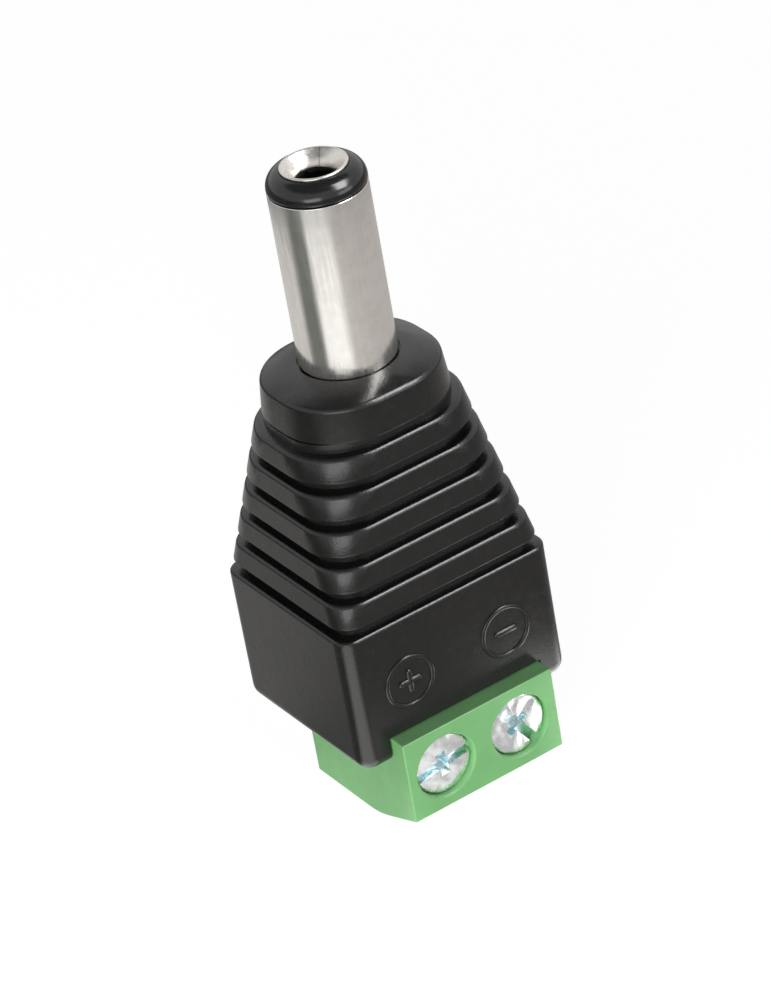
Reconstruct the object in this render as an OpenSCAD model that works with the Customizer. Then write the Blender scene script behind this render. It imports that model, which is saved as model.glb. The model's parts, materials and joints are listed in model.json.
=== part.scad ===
// DC barrel plug on a two-way screw terminal: a male 5.5 x 2.1 mm barrel plug whose two contacts
// come out at a green terminal block with rising-cage clamps.
// +Z runs up the barrel, the screws face -Y, and the part stands on the block's wire-entry face.
// The origin is where the barrel's axis meets that face.

/* [Housing] */
// Width of the housing's box, across the two terminals
housing_w = 14; // [13.4:0.1:18]
// Depth of the housing's box, from the screw side to the back
housing_d = 12; // [11.6:0.1:14]
// Height of the housing's lower rim above the wire-entry face
rim_z = 4.95; // [4.3:0.05:5.4]
// Height of the plain box below the ribs
box_h = 8.6; // [7.8:0.1:12]
// Radius of the box's upright corners
corner_r = 1; // [0.6:0.1:1.6]
// Radius along the box's lower rim
rim_edge_r = 0.85; // [0.4:0.05:1]
// Thickness of the front wall, the back wall and the top of the chamber
wall_t = 1.1; // [0.9:0.05:1.4]

/* [Ribbed boot] */
// Number of ribs between the box and the nose
rib_count = 5; // [3:1:7]
// Distance from one rib to the next
rib_pitch = 1.955; // [1.6:0.005:2.6]
// Height of the groove between two ribs
groove_h = 0.62; // [0.4:0.02:0.8]
// Depth of the groove behind the ribs' faces
groove_depth = 0.55; // [0.3:0.05:0.65]
// How much narrower the lowest rib is than the box
lowest_rib_step = 0.4; // [0.1:0.1:0.8]
// Width of the highest rib at its top
boot_top_w = 11.16; // [10.4:0.02:12]
// Depth of the highest rib at its top
boot_top_d = 9.32; // [9.2:0.02:10.4]
// Corner radius of the highest rib
boot_top_r = 3.9; // [2.5:0.1:4.4]
// Small edge round on each rib
rib_edge = 0.12; // [0.05:0.01:0.2]

/* [Nose] */
// Width of the nose at its foot
nose_w = 10.1; // [9.4:0.1:10.6]
// Depth of the nose at its foot
nose_d = 9.34; // [8.8:0.02:9.8]
// Corner radius of the nose
nose_r = 4.1; // [3:0.1:4.2]
// Height of the nose
nose_h = 2.585; // [2:0.005:3.5]
// How far each side of the nose leans in from its foot to its top
nose_lean = 0.28; // [0:0.02:0.4]
// Round along the top of the nose
nose_edge_r = 0.2; // [0.1:0.05:0.3]
// How much the nose's top rises from its edge towards the barrel
nose_crown = 0.45; // [0.2:0.05:0.6]
// Radius of the flat round the barrel's foot, where the rise ends
nose_flat_r = 3.15; // [3.05:0.05:3.4]
// Width of the groove round the barrel's foot
foot_groove_w = 0.2; // [0.1:0.05:0.25]
// Depth of the groove round the barrel's foot
foot_groove_h = 0.15; // [0.1:0.05:0.3]

/* [Barrel] */
// Outside diameter of the barrel
barrel_d = 5.5; // [5.3:0.1:5.7]
// Length of bare sleeve above the nose
barrel_len = 10.45; // [8:0.05:14]
// How much thinner in radius the sleeve is where it stands in the nose
root_step = 0.2; // [0.15:0.01:0.22]
// Wall of the sleeve
sleeve_wall = 0.4; // [0.3:0.05:0.45]
// Height of the black tip above the sleeve
tip_h = 1.32; // [1.1:0.02:1.8]
// Round of the tip's shoulder
tip_round = 0.95; // [0.6:0.05:1]
// Diameter of the bore that takes a jack's centre pin
pin_bore_d = 2.1; // [2:0.1:2.5]
// Wall of the centre contact's tube
contact_wall = 0.28; // [0.22:0.02:0.32]
// Outside diameter of the centre contact's flared mouth
mouth_d = 3.76; // [3.4:0.02:3.9]
// Height over which the mouth flares
mouth_h = 0.85; // [0.6:0.05:1]
// Width of the seam along the rolled centre contact
seam_w = 0.06; // [0.04:0.02:0.2]
// Turn of the seam from the back, towards the negative side
seam_turn = 45; // [0:1:180]
// Radius of the riveted tail that carries the centre tab
tail_r = 0.75; // [0.6:0.05:0.8]
// Length of sleeve below the flange, which takes the tab's ring
sleeve_tail = 1.2; // [1:0.05:1.6]
// Thickness of the sleeve's flange
flange_t = 1; // [0.8:0.05:1.3]
// Depth of the flange's seat below the top of the nose
seat_depth = 4.3; // [3.9:0.05:4.8]

/* [Plug inside] */
// Radius of the bore above the chamber that takes the plug's rear
plug_bore_r = 3.6; // [3.5:0.05:3.7]
// Thickness of the two solder tabs
tab_t = 0.4; // [0.3:0.05:0.5]
// Width of a solder tab's upright part
tab_w = 1.8; // [1.4:0.1:2]
// Thickness of the rear insulator's collar
collar_t = 0.8; // [0.6:0.05:1]
// Depth of the rear insulator's spigot inside the sleeve
spigot_h = 1.3; // [1:0.05:1.6]

/* [Terminal block] */
// Distance between the two terminals
pole_pitch = 5.08; // [5:0.01:5.2]
// How far the block's front stands out of the housing
block_proud = 1.09; // [0.8:0.01:1.4]
// Depth of the block, front to back
block_d = 10.17; // [9.9:0.01:10.4]
// Height of the block inside the housing
block_h = 7.6; // [7.5:0.02:8]
// Height of the block's shoulder, where the front wall sits on it
shoulder_z = 6.55; // [6.3:0.01:6.8]
// Height of the front face's lower edge above the wire-entry face
chin_h = 1.39; // [0.8:0.01:1.6]
// Depth of the flat wire-entry face
base_d = 6.18; // [5.8:0.02:6.6]
// Round where the sloping chin meets the wire-entry face
chin_r = 6; // [2:0.5:10]
// Height of the screws above the wire-entry face
screw_z = 3.95; // [3.8:0.01:4.05]
// Radius of the screw holes
screw_hole_r = 1.9; // [1.8:0.02:1.95]
// Chamfer round the screw holes
hole_edge = 0.14; // [0.05:0.01:0.2]
// Radius of the wire entries
entry_r = 1.4; // [1.2:0.05:1.5]
// How much wider than that the wire entries are at their mouth
entry_flare = 0.4; // [0.2:0.05:0.5]
// Thickness of the block's floor, which the wire entries go through
floor_t = 1.6; // [1.3:0.05:1.65]
// Width of the chamber that each cage slides in
cage_bay_w = 3.9; // [3.8:0.05:4.1]

/* [Clamps] */
// Depth of the screw's head below the block's front
head_recess = 0.54; // [0.3:0.02:0.8]
// Height of the screw's head
head_h = 1.5; // [1.2:0.05:1.7]
// Thread diameter of the screws
thread_d = 2.5; // [2.3:0.1:2.6]
// Width of the long slot in the head
slot_w = 0.5; // [0.4:0.02:0.6]
// Depth of the long slot in the head
slot_depth = 0.55; // [0.3:0.05:0.7]
// Width of the cross recess
cross_w = 0.62; // [0.5:0.02:0.8]
// Span of the cross recess
cross_span = 2; // [1.6:0.1:2.4]
// Depth of the cross recess
cross_depth = 0.9; // [0.7:0.05:1]
// Turn of the positive screw's slot, seen from the front
slot_turn_positive = 8; // [0:1:180]
// Turn of the negative screw's slot, seen from the front
slot_turn_negative = 124; // [0:1:180]
// Thickness of the block's wall that the screw's head turns on
head_seat_t = 0.75; // [0.6:0.05:0.9]
// Travel of a cage, from open to closed
cage_travel = 2; // [1.6:0.05:2.1]
// Thickness of the cage's threaded wall
nut_t = 1.1; // [1:0.05:1.3]
// Thickness of the cage's other walls
cage_t = 0.48; // [0.4:0.02:0.55]
// Height of a cage, along the wire
cage_h = 4.4; // [4:0.1:4.5]
// Thickness of the contact strips
strip_t = 0.5; // [0.4:0.05:0.6]
// Width of the contact bar inside the cage
bar_w = 2.4; // [2:0.1:2.6]

/* [Clearances] */
// Gap round pieces that are pushed or moulded into one another
fit_gap = 0.03; // [0.02:0.01:0.06]
// Radial running clearance of the screws
run_gap = 0.05; // [0.03:0.01:0.08]
// Gap beside and ahead of a sliding cage
slide_gap = 0.1; // [0.06:0.01:0.15]
// Gap between the housing's chamber and the block
block_gap = 0.08; // [0.04:0.01:0.12]

/* [Hidden] */
$fn = 64;

// How far a cutting shape runs past the face it opens
past = 1;
// Points along each quarter turn of the housing's outline
outline_steps = 8;
// Smallest corner radius that an outline keeps when it is set back
least_r = 0.15;
// Thickness of the flared mouth's lip
lip_t = 0.14;
// Room between the back wall and the contacts' tails
tail_room = 0.4;
// Round on the bends of strips and cages
bend_r = 0.35;

// Heights of the housing
box_top_z = rim_z + box_h;
boot_foot_z = box_top_z + groove_h;
boot_top_z = box_top_z + rib_count * rib_pitch;
nose_z = boot_top_z + groove_h;
nose_top_z = nose_z + nose_h;
nose_edge_z = nose_top_z - nose_crown;
chamber_top_z = box_top_z - wall_t;

// The plug: the flange seats under the nose, the tab ring and the collar follow below it
barrel_r = barrel_d / 2;
root_r = barrel_r - root_step;
sleeve_bore_r = barrel_r - sleeve_wall;
sleeve_top_z = nose_top_z + barrel_len;
tip_top_z = sleeve_top_z + tip_h;
flange_top_z = nose_top_z - seat_depth;
flange_z = flange_top_z - flange_t;
sleeve_z = flange_z - sleeve_tail;
collar_z = sleeve_z - fit_gap - collar_t;
spigot_top_z = sleeve_z + spigot_h;
pin_bore_r = pin_bore_d / 2;
tube_r = pin_bore_r + contact_wall;
tube_z = spigot_top_z + fit_gap;
tube_floor_t = 0.8;
mouth_z = tip_top_z - mouth_h;
mouth_r = mouth_d / 2;
tab_z = collar_z - fit_gap - tab_t;
rivet_h = 0.35;
tab_x = plug_bore_r - tab_t / 2 - 0.3;

// The block's front, back and steps, as places along Y
front_y = -(housing_d / 2 + block_proud);
back_y = front_y + block_d;
inner_front_y = -housing_d / 2 + wall_t;
inner_back_y = housing_d / 2 - wall_t;
base_front_y = back_y - base_d;
block_w = 2 * pole_pitch;
pole_x = pole_pitch / 2;

// The clamp, front to back: head, seat, threaded wall, travel, contact bar
head_y = front_y + head_recess;
head_back_y = head_y + head_h;
seat_y = head_back_y + run_gap;
bay_y = seat_y + head_seat_t;
bar_y = bay_y + slide_gap + nut_t + cage_travel + run_gap;
cage_room = cage_travel + strip_t + 2 * run_gap;
cage_d = nut_t + cage_room + cage_t;
cage_w = cage_bay_w - 2 * slide_gap;
cage_open_y = bay_y + slide_gap + cage_travel;
cage_z = screw_z - cage_h / 2;
entry_y = bar_y + strip_t + (cage_travel + run_gap) / 2;
riser_z = cage_z + cage_h + 0.3;
riser_top_z = riser_z + strip_t;
strip_tail_w = 2 * (tab_x - tab_t / 2 - pole_x);
strip_tail_y = inner_back_y - tail_room;

// A round-cornered rectangle as a flat outline
module rounded_rect(w, d, r) {
    square([w - 2 * r, d], center = true);
    square([w, d - 2 * r], center = true);
    for (sx = [-1, 1], sy = [-1, 1])
        translate([sx * (w / 2 - r), sy * (d / 2 - r)]) circle(r = r);
}

// A box given by its lowest and highest corners
module block_between(low, high) {
    translate(low) cube(high - low);
}

// A disc or tube along Y, from y0 to y1
module along_y(x, y0, y1, z, r) {
    translate([x, y0, z]) rotate([-90, 0, 0]) cylinder(h = y1 - y0, r = r);
}

// One level of the housing: a round-cornered ring of points, set back all round by inset
function level(z, w, d, r, inset = 0) =
    let (rr = max(r - inset, least_r))
    [for (q = [0 : 3], i = [0 : outline_steps])
        let (
            a = 90 * (q + i / outline_steps),
            sx = (q == 0 || q == 3) ? 1 : -1,
            sy = (q < 2) ? 1 : -1
        )
        [sx * (w / 2 - inset - rr) + rr * cos(a), sy * (d / 2 - inset - rr) + rr * sin(a), z]];

// The ribs' common outline at height z: it runs straight from the lowest rib to the highest
function mix(a, b, t) = a + (b - a) * t;
function boot_level(z, inset = 0) =
    let (t = (z - boot_foot_z) / (boot_top_z - boot_foot_z))
    level(
        z,
        mix(housing_w - lowest_rib_step, boot_top_w, t),
        mix(housing_d, boot_top_d, t),
        mix(corner_r + lowest_rib_step, boot_top_r, t),
        inset
    );

// The floor of a groove that starts at height z
function groove_levels(z) =
    let (mid = min(z + groove_h, boot_top_z))
    let (ring = boot_level(mid, groove_depth))
    [[for (p = ring) [p[0], p[1], z]], [for (p = ring) [p[0], p[1], z + groove_h]]];

// One rib, from its lower edge at height z to its upper edge
function rib_levels(z) =
    let (top = z + rib_pitch - groove_h)
    [boot_level(z, rib_edge), boot_level(z + rib_edge),
     boot_level(top - rib_edge), boot_level(top, rib_edge)];

// A quarter round of radius r in steps: [rise, set-back], from the flat face to the upright face
function quarter(r) = [for (a = [0 : 22.5 : 90]) [r * (1 - cos(a)), r * (1 - sin(a))]];

// The nose leans in towards its top, and rises from a round edge to the flat round the barrel's foot
function nose_level(z, inset = 0) =
    level(z, nose_w, nose_d, nose_r, inset + nose_lean * (z - nose_z) / nose_h);
function nose_levels() = concat(
    [nose_level(nose_z, rib_edge), nose_level(nose_z + rib_edge)],
    [for (i = [4 : -1 : 0]) let (q = quarter(nose_edge_r)[i]) nose_level(nose_edge_z - q[0], q[1])],
    [level(nose_top_z, 2 * nose_flat_r, 2 * nose_flat_r, nose_flat_r - least_r)]
);

// The box has a round lower rim and a small upper edge
function box_level(z, inset = 0) = level(z, housing_w, housing_d, corner_r, inset);
function box_levels() = concat(
    [for (q = quarter(rim_edge_r)) box_level(rim_z + q[0], q[1])],
    [box_level(box_top_z - rib_edge), box_level(box_top_z, rib_edge)]
);

// Joins a stack of levels into one closed skin
module skin(levels) {
    n = len(levels[0]);
    m = len(levels);
    sides = [for (k = [0 : m - 2], i = [0 : n - 1])
        let (j = (i + 1) % n, a = k * n + i, b = k * n + j, c = b + n, d = a + n)
        each [[a, c, b], [a, d, c]]];
    floor_face = [for (i = [0 : n - 1]) i];
    roof_face = [for (i = [n - 1 : -1 : 0]) (m - 1) * n + i];
    polyhedron(points = [for (ring = levels) each ring], faces = concat([floor_face], sides, [roof_face]));
}

// The outer skin: box, then a groove and a rib in turn, then a groove and the nose
module housing_skin() {
    skin(concat(
        box_levels(),
        [for (k = [0 : rib_count - 1], ring = concat(
            groove_levels(box_top_z + k * rib_pitch),
            rib_levels(boot_foot_z + k * rib_pitch))) ring],
        groove_levels(boot_top_z),
        nose_levels()
    ));
}

// Black moulding with the ribbed boot, a chamber for the block and a stepped bore for the plug
module housing() {
    opening_w = block_w + 2 * block_gap;
    stop_w = 0.9;
    color("#2e2e30") {
        difference() {
            housing_skin();
            // chamber for the block and the tabs, open below
            block_between(
                [-opening_w / 2, inner_front_y, rim_z - past],
                [opening_w / 2, inner_back_y, chamber_top_z]);
            // notch that lets the block's screw side stand out
            block_between(
                [-opening_w / 2, -housing_d / 2 - past, rim_z - past],
                [opening_w / 2, inner_front_y + fit_gap, shoulder_z + block_gap]);
            translate([0, 0, chamber_top_z - past])
                cylinder(h = flange_top_z - chamber_top_z + past, r = plug_bore_r);
            translate([0, 0, flange_top_z - past])
                cylinder(h = nose_top_z - flange_top_z + 2 * past, r = root_r + fit_gap);
            translate([0, 0, nose_top_z - foot_groove_h])
                cylinder(h = foot_groove_h + past, r = barrel_r + foot_groove_w);
        }
        // stops behind and above the block, at both ends of the chamber
        for (side = [-1, 1]) {
            outer_x = opening_w / 2 + fit_gap;
            inner_x = outer_x - stop_w;
            block_between(
                [min(side * inner_x, side * outer_x), back_y + block_gap, rim_z + rim_edge_r],
                [max(side * inner_x, side * outer_x), inner_back_y + fit_gap, block_h]);
            block_between(
                [min(side * inner_x, side * outer_x), -stop_w, block_h + block_gap],
                [max(side * inner_x, side * outer_x), stop_w, chamber_top_z + fit_gap]);
        }
    }
}

// Nickel-plated sleeve with the flange that seats under the nose
module barrel_sleeve() {
    color("#c9c5c0") difference() {
        union() {
            translate([0, 0, sleeve_z]) cylinder(h = nose_top_z - sleeve_z, r = root_r);
            translate([0, 0, nose_top_z]) cylinder(h = barrel_len, r = barrel_r);
            translate([0, 0, flange_z]) cylinder(h = flange_t, r = plug_bore_r - fit_gap);
        }
        translate([0, 0, sleeve_z - past])
            cylinder(h = sleeve_top_z - sleeve_z + 2 * past, r = sleeve_bore_r);
    }
}

// Black insulator: a round-shouldered tip flush with the sleeve, and a long tube inside it
module tip_insulator() {
    shoulder_top_z = tip_top_z - lip_t;
    bore_r = tube_r + fit_gap;
    color("#2b2b2e") rotate_extrude() polygon(concat(
        [[bore_r, tube_z], [sleeve_bore_r - fit_gap, tube_z], [sleeve_bore_r - fit_gap, sleeve_top_z + fit_gap],
         [barrel_r, sleeve_top_z + fit_gap]],
        [for (a = [0 : 10 : 80])
            [barrel_r - tip_round * (1 - cos(a)), shoulder_top_z - tip_round * (1 - sin(a))]],
        [[mouth_r + fit_gap, shoulder_top_z], [bore_r, mouth_z]]
    ));
}

// Rolled centre contact: a tube with a flared mouth and a seam, and a riveted tail below
module centre_contact() {
    inner_mouth_r = mouth_r - lip_t;
    rivet_z = tab_z - fit_gap;
    color("#cfcac4") {
        difference() {
            rotate_extrude() polygon(concat(
                [[0, tube_z], [tube_r, tube_z], [tube_r, mouth_z], [mouth_r, tip_top_z - lip_t],
                 [mouth_r, tip_top_z], [inner_mouth_r, tip_top_z]],
                [for (a = [0 : 15 : 90])
                    [pin_bore_r + (inner_mouth_r - pin_bore_r) * (1 - sin(a)), tip_top_z - mouth_h * (1 - cos(a))]],
                [[pin_bore_r, tube_z + tube_floor_t], [0, tube_z + tube_floor_t]]
            ));
            rotate([0, 0, -seam_turn]) block_between(
                [-seam_w / 2, 0, tube_z + 2 * tube_floor_t],
                [seam_w / 2, mouth_r + past, tip_top_z + past]);
        }
        translate([0, 0, rivet_z - rivet_h / 2])
            cylinder(h = tube_z - rivet_z + rivet_h / 2 + fit_gap, r = tail_r);
        translate([0, 0, rivet_z - rivet_h]) cylinder(h = rivet_h, r1 = tail_r, r2 = tail_r + rivet_h);
    }
}

// Insulating bush that closes the sleeve's rear and holds the contact's tail
module rear_insulator() {
    color("#e8e2d2") difference() {
        union() {
            translate([0, 0, collar_z]) cylinder(h = collar_t, r = root_r);
            translate([0, 0, collar_z]) cylinder(h = spigot_top_z - collar_z, r = sleeve_bore_r - fit_gap);
        }
        translate([0, 0, collar_z - past])
            cylinder(h = spigot_top_z - collar_z + 2 * past, r = tail_r + fit_gap);
    }
}

// A ring that goes round the plug, an arm to one side and a tab that runs down to the contact's tail
module solder_tab(side, ring_z, ring_r, hole_r) {
    half_w = tab_w / 2;
    jog_top_z = chamber_top_z;
    jog_foot_z = riser_top_z + 2;
    foot_y = back_y + 2 * fit_gap;
    difference() {
        union() {
            translate([0, 0, ring_z]) cylinder(h = tab_t, r = ring_r);
            translate([side > 0 ? 0 : -tab_x - tab_t / 2, -half_w, ring_z])
                cube([tab_x + tab_t / 2, tab_w, tab_t]);
        }
        translate([0, 0, ring_z - past]) cylinder(h = tab_t + 2 * past, r = hole_r);
    }
    translate([side * tab_x - tab_t / 2, 0, 0]) rotate([90, 0, 90]) linear_extrude(tab_t) polygon([
        [-half_w, ring_z + tab_t], [-half_w, jog_top_z], [foot_y, jog_foot_z], [foot_y, riser_z - tab_t],
        [strip_tail_y, riser_z - tab_t], [strip_tail_y, jog_foot_z + tab_w / 2],
        [half_w, jog_top_z + tab_w / 2], [half_w, ring_z + tab_t]
    ]);
}

// Tab of the centre contact, riveted on its tail
module centre_tab() {
    color("#d8c27a") solder_tab(-1, tab_z, tail_r + 0.9, tail_r + fit_gap);
}

// Tab of the sleeve, on the sleeve's rear under its flange
module sleeve_tab() {
    color("#d8c27a") solder_tab(1, flange_z - fit_gap - tab_t, plug_bore_r - fit_gap - 0.1, root_r + fit_gap);
}

// The block's outline, seen along X: a sloping chin in front and a shoulder for the front wall
module block_outline() {
    step_y = inner_front_y + block_gap;
    slope = atan2(chin_h, base_front_y - front_y);
    bend_y = base_front_y + chin_r * tan(slope / 2);
    polygon(concat(
        [[front_y, chin_h], [front_y, shoulder_z], [step_y, shoulder_z], [step_y, block_h],
         [back_y, block_h], [back_y, 0]],
        [for (i = [0 : 4]) [bend_y - chin_r * sin(slope * i / 4), chin_r * (1 - cos(slope * i / 4))]]
    ));
}

// Green moulding with the screw holes in front, the wire entries below and a bay for each cage
module terminal_block() {
    bay_w = cage_bay_w / 2;
    color("#7cbf7c") difference() {
        translate([-block_w / 2, 0, 0]) rotate([90, 0, 90]) linear_extrude(block_w) block_outline();
        for (x = [-pole_x, pole_x]) {
            along_y(x, front_y - past, seat_y, screw_z, screw_hole_r);
            translate([x, front_y, screw_z]) rotate([-90, 0, 0])
                cylinder(h = hole_edge, r1 = screw_hole_r + hole_edge, r2 = screw_hole_r);
            along_y(x, seat_y - past, bay_y + past, screw_z, thread_d / 2 + run_gap);
            block_between([x - bay_w, bay_y, floor_t], [x + bay_w, back_y + past, riser_top_z + fit_gap]);
            translate([x, entry_y, -past]) cylinder(h = floor_t + 2 * past, r = entry_r);
            translate([x, entry_y, 0]) cylinder(h = entry_flare, r1 = entry_r + entry_flare, r2 = entry_r);
        }
    }
}

// Bent strip: the bar that the wire is clamped on, a plate across the bay and a tail to the tab
module contact(x) {
    bar_low_z = floor_t + slide_gap;
    plate_w = cage_bay_w - 2 * fit_gap;
    block_between([x - bar_w / 2, bar_y, bar_low_z], [x + bar_w / 2, bar_y + strip_t, riser_top_z]);
    block_between([x - plate_w / 2, bar_y, riser_z], [x + plate_w / 2, back_y, riser_top_z]);
    block_between([x - strip_tail_w / 2, bar_y, riser_z], [x + strip_tail_w / 2, strip_tail_y, riser_top_z]);
}
module contact_positive() {
    color("#d5cfa8") contact(-pole_x);
}
module contact_negative() {
    color("#d5cfa8") contact(pole_x);
}

// Captive screw: a head with a slot across a cross recess, and a shank down to the contact bar
module clamp_screw(x, turn) {
    head_r = screw_hole_r - run_gap;
    edge = 0.12;
    tip = 0.25;
    tip_y = bar_y - run_gap;
    color("#c4c6c6") difference() {
        union() {
            along_y(x, head_y + edge, head_back_y, screw_z, head_r);
            translate([x, head_y, screw_z]) rotate([-90, 0, 0])
                cylinder(h = edge, r1 = head_r - edge, r2 = head_r);
            along_y(x, head_back_y - edge, tip_y - tip, screw_z, thread_d / 2);
            translate([x, tip_y - tip, screw_z]) rotate([-90, 0, 0])
                cylinder(h = tip, r1 = thread_d / 2, r2 = thread_d / 2 - tip);
        }
        translate([x, head_y, screw_z]) rotate([0, -turn, 0]) {
            block_between([-head_r - past, -past, -slot_w / 2], [head_r + past, slot_depth, slot_w / 2]);
            for (a = [0, 90]) rotate([0, a, 0])
                block_between([-cross_span / 2, -past, -cross_w / 2], [cross_span / 2, cross_depth, cross_w / 2]);
        }
    }
}
module clamp_screw_positive() {
    clamp_screw(-pole_x, slot_turn_positive);
}
module clamp_screw_negative() {
    clamp_screw(pole_x, slot_turn_negative);
}

// Folded cage round the wire's space, shown open: a threaded wall in front and a floor behind
module clamp_cage(x) {
    color("#b9bcc0") difference() {
        translate([x, cage_open_y + cage_d / 2, cage_z]) linear_extrude(cage_h) difference() {
            rounded_rect(cage_w, cage_d, bend_r);
            translate([0, (nut_t - cage_t) / 2]) square([cage_w - 2 * cage_t, cage_room], center = true);
        }
        along_y(x, cage_open_y - past, cage_open_y + nut_t + past, screw_z, thread_d / 2 + run_gap);
    }
}
module clamp_cage_positive() {
    clamp_cage(-pole_x);
}
module clamp_cage_negative() {
    clamp_cage(pole_x);
}

housing();
barrel_sleeve();
tip_insulator();
centre_contact();
rear_insulator();
centre_tab();
sleeve_tab();
terminal_block();
contact_positive();
contact_negative();
clamp_screw_positive();
clamp_screw_negative();
clamp_cage_positive();
clamp_cage_negative();
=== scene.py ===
"""DC barrel plug with a two-way screw terminal: builds the detailed pieces round the packed part.

It is laid out as an add-on and run as a script. Every operator makes one piece or one group of like
pieces. Pieces are modelled in millimetres and scaled to metres when they are finished.
"""

import json
import math
from types import SimpleNamespace

import bmesh
import bpy
from mathutils import Matrix, Vector


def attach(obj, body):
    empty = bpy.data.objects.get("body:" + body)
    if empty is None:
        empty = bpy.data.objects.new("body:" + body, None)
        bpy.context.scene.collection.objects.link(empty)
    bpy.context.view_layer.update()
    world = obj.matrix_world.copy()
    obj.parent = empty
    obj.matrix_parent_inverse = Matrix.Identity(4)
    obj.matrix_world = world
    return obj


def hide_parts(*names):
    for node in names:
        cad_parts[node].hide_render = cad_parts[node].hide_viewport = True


bl_info = {
    "name": "DC barrel plug dressing",
    "version": (1, 0, 0),
    "blender": (4, 5, 0),
    "location": "View3D > Sidebar > Plug",
    "description": "Builds the moulded housing, plug, terminal block, screws and stage",
    "category": "Object",
}

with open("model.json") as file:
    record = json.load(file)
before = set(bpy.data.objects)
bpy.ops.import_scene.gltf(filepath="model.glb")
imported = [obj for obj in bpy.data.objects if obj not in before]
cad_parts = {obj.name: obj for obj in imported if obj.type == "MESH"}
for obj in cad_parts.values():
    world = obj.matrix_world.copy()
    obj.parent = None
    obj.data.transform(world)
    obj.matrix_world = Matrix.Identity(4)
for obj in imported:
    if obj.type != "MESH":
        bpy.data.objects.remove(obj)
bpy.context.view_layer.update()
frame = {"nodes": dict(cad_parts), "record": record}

BODY = "adapter"
POLES = {"positive": -1, "negative": 1}
AXES = {"Y": (0, 1, 0), "Z": (0, 0, 1)}
ORIGIN = (0, 0, 0)
FULL_TURN = 2 * math.pi

# Millimetres in a metre. The lengths below it are in millimetres.
MM = 1000.0
# Points nearer than the first are merged, and nearer to a place than the second are at it
MERGE, TOUCH = 1e-5, 1e-3
# How far a cut reaches past a face, and from the middle where it runs right across
PAST, ACROSS = 1.0, 3.0
# How far joined shapes run into each other
OVERLAP = 0.03
# Gap between the housing and the terminal block
BLOCK_GAP = 0.08
# Least corner radius of a moulded outline
LEAST_RADIUS = 0.15

# The plug's middle, which lamps and cards face, in metres
MIDDLE = Vector((0, 0, 0.019))
# Direction, distance and size in metres of the key lamp and its card
KEY_PLACE = ((-0.8, -0.78, 0.15), 0.36, (0.24, 0.12))
# Direction of the camera's side, seen from above, as an angle from +X
CAMERA_SIDE = math.atan2(-0.874, -0.486)


def number(name, description, value, unit="NONE"):
    return bpy.props.FloatProperty(name=name, description=description, default=value, unit=unit)


def angle(name, description, degrees):
    """An angle property, given in degrees here."""
    return number(name, description, math.radians(degrees), "ROTATION")


def mm(name, description, value):
    """A length property: given in millimetres here, kept in metres."""
    return bpy.props.FloatProperty(
        name=name, description=description, default=value / MM, precision=5,
        unit="LENGTH", subtype="DISTANCE",
    )


def colour(name, description, value):
    return bpy.props.FloatVectorProperty(
        name=name, description=description, default=value, size=3, min=0.0, max=1.0,
        subtype="COLOR",
    )


class PLUG_PG_housing(bpy.types.PropertyGroup):
    """Sizes of the black moulding"""

    width: mm("Width", "Width of the box", 14.0)
    depth: mm("Depth", "Depth of the box", 12.0)
    rim_z: mm("Rim height", "Height of the lower rim", 4.95)
    box_height: mm("Box height", "Height of the plain box", 8.6)
    corner_radius: mm("Corner radius", "Radius of the upright corners", 1.0)
    rim_radius: mm("Rim radius", "Round along the lower rim", 0.85)
    wall: mm("Wall", "Wall round the chamber", 1.1)
    stop: mm("Stop", "Thickness of the stops over the block", 0.9)
    rib_count: bpy.props.IntProperty(
        name="Ribs", description="Ribs between box and nose", default=5, min=3, max=7
    )
    rib_pitch: mm("Rib pitch", "Distance from one rib to the next", 1.955)
    groove_height: mm("Groove height", "Height of the groove", 0.62)
    groove_depth: mm("Groove depth", "Depth of the groove", 0.55)
    groove_draft: mm("Groove draft", "How much each side leans in", 0.04)
    rib_step: mm("Lowest rib step", "How much narrower than the box it is", 0.4)
    boot_width: mm("Boot top width", "Width of the highest rib at its top", 11.16)
    boot_depth: mm("Boot top depth", "Depth of the highest rib at its top", 9.32)
    boot_radius: mm("Boot top radius", "Corner radius of the highest rib", 3.9)
    rib_edge: mm("Rib edge", "Round on their upper edges", 0.2)
    rib_foot: mm("Rib foot", "Round on their lower edges", 0.12)
    nose_width: mm("Nose width", "Width of the nose at its foot", 10.1)
    nose_depth: mm("Nose depth", "Depth of the nose at its foot", 9.34)
    nose_radius: mm("Nose radius", "Corner radius of the nose", 4.1)
    nose_height: mm("Nose height", "Height of the nose", 2.585)
    nose_lean: mm("Nose lean", "How far each side leans in", 0.28)
    nose_edge: mm("Nose edge", "Round along the top of the nose", 0.32)
    nose_crown: mm("Nose crown", "How much the nose's top rises", 0.45)
    nose_flat: mm("Nose flat", "Radius of the flat at the barrel", 3.15)
    foot_groove: mm("Foot groove", "Width of the groove there", 0.1)
    foot_groove_depth: mm("Foot groove depth", "Depth of that groove", 0.15)
    mark_radius: mm("Mark radius", "Radius of the polarity rings", 1.5)
    mark_ring: mm("Mark ring", "Width of the raised rings", 0.28)
    mark_bar: mm("Mark bar", "Width of the raised bars", 0.4)
    mark_span: mm("Mark span", "Length between the round ends", 1.15)
    mark_rise: number("Mark rise", "How round the raised lines are", 0.75)
    mark_x: mm("Mark offset", "Distance from the middle", 3.24)
    mark_z: mm("Mark height", "Height of the marks", 9.52)


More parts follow.
